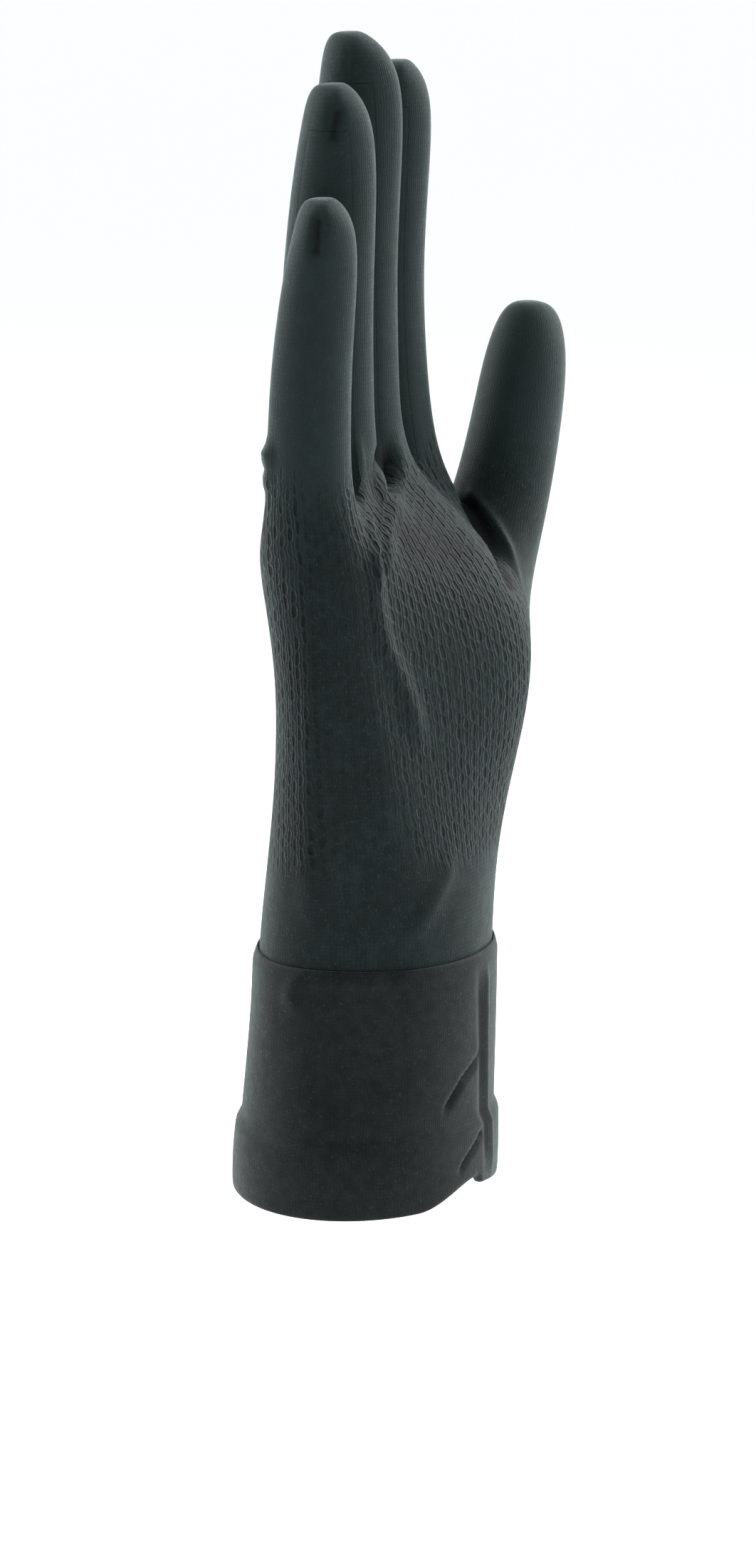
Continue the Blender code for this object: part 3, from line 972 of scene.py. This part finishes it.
@dataclass
class CuffBand(Sewn):
    """The cuff: a band sewn over the foot of the hand piece, with a doubled hem.

    Sizes are in millimetres, and the hem's lift goes by degrees round the wrist.
    """

    length: float = 50.0
    lap: float = 4.0
    wrist_breadth: float = 60.0
    wrist_depth: float = 46.0
    hem_breadth: float = 71.0
    hem_depth: float = 53.0
    hem_width: float = 14.7
    wall: float = 1.0
    gap: float = 0.15
    row_step: float = 0.8
    lift_height: float = 3.7
    lift_from: float = -137.0
    lift_notch: float = -103.0
    lift_to: float = -75.0
    folds: tuple[Fold, ...] = ()

    def profile(self) -> Spans:
        """The band's section, as heights and how far out of the inner face, in millimetres.

        Returns:
            The corners from the top edge down the outside and back up the inside.
        """
        turns = [(self.length, 0.12), (self.length - 0.15, 0.42)]
        for height in np.arange(self.length - 0.6, 0.9, -self.row_step):
            hem = smooth((self.hem_width + 1.6 - height) / 3.4)
            swell = 0.18 * math.sin(math.pi * min(height / self.hem_width, 1.0))
            edge = 0.5 * smooth((height - self.length + 2.6) / 2.6)
            turns.append((height, self.wall * (1.0 + hem) + hem * swell - edge))
        turns += [(0.45, 1.95), (0.12, 1.65), (0.0, 1.2), (0.0, 0.7), (0.12, 0.3), (0.5, 0.06)]
        turns += [(height, 0.0) for height in (1.5, 4.0, 8.0, self.hem_width, 19.0, 24.0, 29.0,
                                               34.0, 39.0, 43.0, 46.0, 48.0)]
        return turns + [(self.length - 0.15, 0.03)]

    def wrist(self, skin: BMesh) -> tuple[list[Vector], list[Vector]]:
        """The skin's lowest loop in order round the wrist, and the points 4 mm above it."""
        foot = min(vert.co.z for vert in skin.verts)
        rim = [v for v in skin.verts if v.is_boundary and v.co.z < foot + 0.25 * self.lap * MM]
        rim.sort(key=lambda v: math.atan2(v.co.y, v.co.x))
        above = []
        for vert in rim:
            top = vert
            while top.co.z < foot + self.lap * MM:
                top = max((edge.other_vert(top) for edge in top.link_edges), key=lambda v: v.co.z)
            above.append(top.co.copy())
        return self.doubled([vert.co.copy() for vert in rim]), self.doubled(above)

    def doubled(self, loop: list[Vector]) -> list[Vector]:
        """A closed loop with a point added between each two."""
        return [place for a, b in pairs(loop) for place in (a, a.lerp(b, 0.5))]

    def hem_lift(self, angle: float) -> float:
        """How far the hem is pulled up at an angle round the wrist, in millimetres."""
        turn = math.degrees(angle)
        rise = smooth((turn - self.lift_from) / 32.0)
        strip = smooth((turn - self.lift_notch) / 5.0)
        return self.lift_height * rise * (1.0 - 0.5 * strip) * smooth((self.lift_to - turn) / 30.0)

    def build(self, skin: BMesh) -> Object:
        """Build the band from the wrist of the skin down to the hem.

        Args:
            skin: The smoothed outside of the glove.

        Returns:
            The band as an object.
        """
        rim, above = self.wrist(skin)
        count = len(rim)
        foot = sum(point.z for point in rim) / count / MM
        normals, angles, hems = [], [], []
        for i in range(count):
            along = rim[(i + 1) % count] - rim[i - 1]
            normals.append(Vector((along.y, -along.x, 0.0)).normalized())
            angle = math.atan2(rim[i].y / self.wrist_depth, rim[i].x / self.wrist_breadth)
            angles.append(angle)
            hem = Vector((0.5 * self.hem_breadth * math.cos(angle),
                          0.5 * self.hem_depth * math.sin(angle), 0.0)) * MM
            hems.append(hem - normals[i] * (self.gap + 2.0 * self.wall) * MM)
        sides = np.array(normals)
        crease_shades = []

        def row(height: float, out: float) -> list[Vector]:
            """The corners of one row of the band."""
            places = []
            for low, high, hem, normal in zip(rim, above, hems, normals):
                if height >= foot:
                    rise = (height * MM - low.z) / (high.z - low.z)
                    place = low.lerp(high, rise)
                else:
                    down = 1.0 - height / foot
                    place = low.lerp(hem, 0.35 * down + 0.65 * smooth(down))
                place = place + normal * (self.gap + out) * MM
                places.append(Vector((place.x, place.y, height * MM)))
            grid = np.array(places)
            moved = sum(fold.lift(grid, sides) for fold in self.folds)
            moved *= smooth((self.length + 1.0 - height) / 6.0)
            # The band's creases are painted with shade as deep as they sink.
            crease_shades.append(eased(-moved / (FULL_SHADE_DEPTH * MM)))
            fade = smooth(1.0 - height / 24.0)
            for i, place in enumerate(places):
                place += normals[i] * float(moved[i])
                place.z += self.hem_lift(angles[i]) * fade * MM
            return places

        mesh = bmesh.new()
        mesh.loops.layers.uv.new("wales")
        seam = mesh.verts.layers.float.new("seam")
        painted_shade = mesh.verts.layers.float.new("painted_shade")
        cage = Cage(mesh)
        rows = [row(*turn) for turn in self.profile()]
        rings = cage.tube(cage.ring(rows[0]), rows[1:], Piece.HAND, around(rim))
        bmesh.ops.bridge_loops(mesh, edges=cage.edges(rings[0]) + cage.edges(rings[-1]))
        bmesh.ops.recalc_face_normals(mesh, faces=mesh.faces)
        # Each row's painted crease shade goes on its vertices, which lie far from any seam.
        for ring, deep in zip(rings, crease_shades):
            for vert, share in zip(ring, deep):
                vert[seam], vert[painted_shade] = 6.0, share
        for face in mesh.faces:
            face.smooth = True
        return placed(mesh, "cuff_knit")


@dataclass(frozen=True)
class Panel:
    """A soft light panel: how far right of the glove, behind it and high, its size and watts."""

    name: str
    side: float
    back: float
    height: float
    size: float
    power: float


@dataclass
class Studio:
    """A plain pale floor, soft light all round and the camera at the little finger side."""

    azimuth: float = -75.0
    distance: float = 1.10
    camera_height: float = 0.315
    aim_height: float = 0.082
    shift: float = 0.0026
    lens: float = 127.5
    floor_height: float = -0.066
    bright: float = 1.35
    dim: float = 0.115
    lit_height: float = 0.17
    panels: tuple[Panel, ...] = (
        Panel("panel_right", 0.75, 0.50, 0.55, 0.6, 9.0),
        Panel("panel_left", -0.75, 0.35, 0.55, 0.6, 6.5),
        Panel("panel_front", 0.45, -0.35, 0.25, 0.4, 0.5),
    )

    def front(self) -> Vector:
        """The level way from the glove to the camera."""
        side = self.right()
        return Vector((side.y, -side.x, 0.0))

    def right(self) -> Vector:
        """The level way to the right of the image."""
        turn = math.radians(self.azimuth)
        return Vector((math.cos(turn), math.sin(turn), 0.0))

    def aimed(self, data: bpy.types.ID, place: Vector, aim: Vector) -> Object:
        """Put a camera or light at a place, facing another."""
        made = bpy.data.objects.new(data.name, data)
        made.location = place
        made.rotation_euler = (aim - place).to_track_quat("-Z", "Y").to_euler()
        bpy.context.scene.collection.objects.link(made)
        return made

    def camera(self) -> None:
        """Place the camera."""
        data = bpy.data.cameras.new("camera")
        data.sensor_width = 36.0
        data.lens = self.lens
        data.dof.use_dof = False
        data.clip_start = 0.05
        data.clip_end = 50.0
        aim = self.right() * self.shift + Vector((0.0, 0.0, self.aim_height))
        place = aim + self.front() * self.distance
        place.z = self.camera_height
        bpy.context.scene.camera = self.aimed(data, place, aim)

    def floor(self) -> None:
        """Lay the pale floor."""
        mesh = bmesh.new()
        bmesh.ops.create_circle(mesh, cap_ends=True, cap_tris=False, radius=14.0, segments=96)
        bmesh.ops.translate(mesh, verts=mesh.verts, vec=(0.0, 0.0, self.floor_height))
        floor = placed(mesh, "floor")
        # Matt white paper sweep.
        paper = bpy.data.materials.new("white_paper")
        paper.use_nodes = True
        looks = {"Base Color": colour("#ffffff"), "Roughness": 0.9, "Specular IOR Level": 0.1}
        for name, value in looks.items():
            paper.node_tree.nodes["Principled BSDF"].inputs[name].default_value = value
        floor.data.materials.append(paper)

    def light(self) -> None:
        """Light the room: bright behind and beside the glove, dim in front of it."""
        world = bpy.data.worlds.new("studio")
        bpy.context.scene.world = world
        world.use_nodes = True
        tree = world.node_tree
        tree.nodes.clear()
        way = add_node(tree, "TexCoord").outputs["Generated"]
        toward = add_node(tree, "VectorMath", {0: way, 1: self.front()},
                          operation="DOT_PRODUCT").outputs["Value"]
        strength = add_node(tree, "MapRange", {
            0: toward, 1: -0.05, 2: 0.75, 3: self.bright, 4: self.dim},
            interpolation_type="SMOOTHSTEP").outputs[0]
        seen = add_node(tree, "LightPath").outputs["Is Camera Ray"]
        white = add_node(tree, "Background", {0: colour("#ffffff"), 1: 1.0})
        soft = add_node(tree, "Background", {0: colour("#fbfdff"), 1: strength})
        mixed = add_node(tree, "MixShader", {
            0: seen, 1: soft.outputs[0], 2: white.outputs[0]})
        add_node(tree, "OutputWorld", {"Surface": mixed.outputs[0]})
        bpy.context.scene.view_settings.view_transform = "Standard"

    def hang(self, panel: Panel) -> None:
        """Hang a light panel so that it faces the glove."""
        data = bpy.data.lights.new(panel.name, "AREA")
        data.shape = "SQUARE"
        data.size = panel.size
        data.energy = panel.power
        place = self.right() * panel.side - self.front() * panel.back
        place.z = panel.height
        self.aimed(data, place, Vector((0.0, 0.0, self.lit_height)))

    def build(self) -> None:
        """Set up the studio."""
        self.camera()
        self.floor()
        self.light()
        for panel in self.panels:
            self.hang(panel)


# Folds of the hand. A negative height makes a crease, which is also painted with shade as deep as
# it sinks.
HAND_FOLDS = (
    Fold(((2.5, -2.6, 153.2), (-9.5, -5.5, 149.3), (-13.1, -6.3, 144.2), (-16.8, -7.5, 139.8)),
         -1.4, 1.8),
    Fold(((4.0, -4.1, 153.0), (2.3, -4.6, 147.5), (-5.4, -6.3, 143.0), (-15.6, -8.3, 139.6)),
         -1.6, 1.8),
    Fold(((7.7, -5.4, 154.0), (4.9, -6.1, 148.6), (0.7, -6.8, 143.5), (-11.4, -9.4, 140.5),
          (-17.2, -9.8, 137.3), (-21.2, -10.1, 132.8), (-23.5, -11.2, 126.1)), 1.3, 1.4, 0.2),
    Fold(((-15.3, -2.3, 157.1), (-15.4, -2.9, 151.5), (-16.9, -3.9, 146.1), (-20.1, -5.6, 141.6),
          (-22.8, -7.5, 137.9), (-26.0, -9.2, 132.1), (-27.6, -10.4, 125.4)), 1.1, 1.3, 0.2),
    Fold(((-33.5, 9.5, 153.5), (-29.9, 11.9, 153.0), (-25.0, 12.0, 152.5)), 1.3, 2.2, 0.25),
    Fold(((-33.0, 9.5, 148.5), (-29.0, 12.2, 148.0), (-24.0, 12.0, 147.5)), 0.8, 1.8, 0.25),
    # The crease at the thumb's base sinks deep, so it is painted nearly black with shade.
    Fold(((30.8, -12.7, 137.7), (27.6, -15.0, 135.4), (24.7, -17.9, 132.3), (22.0, -20.6, 128.8),
          (16.2, -24.2, 125.8), (13.6, -26.6, 122.7), (11.8, -28.0, 119.6)), -1.8, 2.2, 0.16),
    Fold(((31.3, -13.0, 138.7), (29.3, -14.9, 137.2), (27.3, -17.8, 134.8), (26.0, -20.7, 131.4),
          (24.8, -23.4, 127.6), (22.6, -26.2, 123.9), (20.4, -28.2, 120.6)), 1.2, 1.1, 0.15),
    Fold(((-11.6, -22.3, 73.2), (-14.6, -21.5, 69.6), (-18.1, -20.2, 65.5), (-22.5, -17.4, 59.5),
          (-25.1, -14.2, 54.5)), 0.9, 2.2),
    Fold(((-24.5, -7.9, 138.2), (-26.9, -9.6, 130.1), (-27.4, -10.8, 122.6), (-26.3, -11.8, 116.0),
          (-21.8, -14.2, 106.0), (-18.1, -17.3, 92.0)), 1.1, 2.4, 0.2),
    Fold(((-34.7, 0.2, 117.7), (-34.1, 1.3, 103.3), (-32.4, 2.4, 88.6), (-30.5, 3.4, 73.8),
          (-28.8, 4.2, 56.0)), 0.5, 2.4, 0.15),
    # A broad shallow hollow at the top of the palm, there mostly for the painted shade it gets.
    Fold(((-19.0, -10.6, 135.0), (-11.6, -12.2, 134.4), (-4.3, -14.7, 133.3), (1.1, -18.5, 130.5),
          (4.0, -21.8, 126.0)), -0.65, 6.5, 0.25),
    Fold(((-33.3, 0.0, 201.2), (-34.5, 0.1, 197.7), (-35.1, 0.5, 192.2)), -0.8, 1.1, 0.2),
    Fold(((-16.2, 0.8, 220.5), (-17.4, 1.4, 216.6), (-18.0, 1.9, 212.8)), -0.8, 1.1, 0.2),
)
# Folds of the cuff; its creases are painted with shade as well.
CUFF_FOLDS = (
    Fold(((-8.0, -25.9, 49.4), (-6.3, -25.7, 40.5), (-5.0, -25.7, 28.3), (-4.0, -26.2, 15.0),
          (-3.5, -26.8, 0.0)), -0.6, 1.6, 0.2),
    Fold(((-3.5, -26.5, 48.4), (-2.3, -26.0, 32.4), (-0.6, -26.0, 15.1), (0.3, -26.4, 0.0)),
         0.35, 1.1, 0.1),
    Fold(((-4.5, -25.6, 29.5), (-13.2, -24.2, 25.0), (-19.8, -21.2, 18.5)), -1.0, 0.75, 0.2),
    Fold(((-4.8, -26.6, 12.5), (-9.3, -26.0, 8.1), (-16.9, -24.0, 3.5)), -0.9, 0.75, 0.2),
    Fold(((-28.9, 4.1, 56.9), (-28.4, 4.8, 50.3), (-29.4, 8.0, 44.3), (-30.0, 4.4, 38.5)),
         0.7, 2.2),
)


def main() -> None:
    """Build the glove piece by piece and set up the studio."""
    logging.basicConfig(level=logging.INFO, format="%(name)s: %(message)s")
    Studio().build()
    finishes = {knit: finish.material() for knit, finish in FINISHES.items()}
    skin = GloveForm().skin()
    band = CuffBand(folds=CUFF_FOLDS)
    cuff = band.build(skin)
    band.dress(cuff, finishes[Knit.BAND])
    LOG.info("%s: %d faces", cuff.name, len(cuff.data.polygons))
    Drape(folds=HAND_FOLDS).shape(skin)
    for piece in Piece:
        part = KnitPiece(piece, Knit.RELIEF if piece is Piece.HAND else Knit.FINE)
        made = part.build(skin)
        part.dress(made, finishes[part.knit])
        LOG.info("%s: %d faces", made.name, len(made.data.polygons))
    skin.free()


if __name__ == "__main__":
    main()
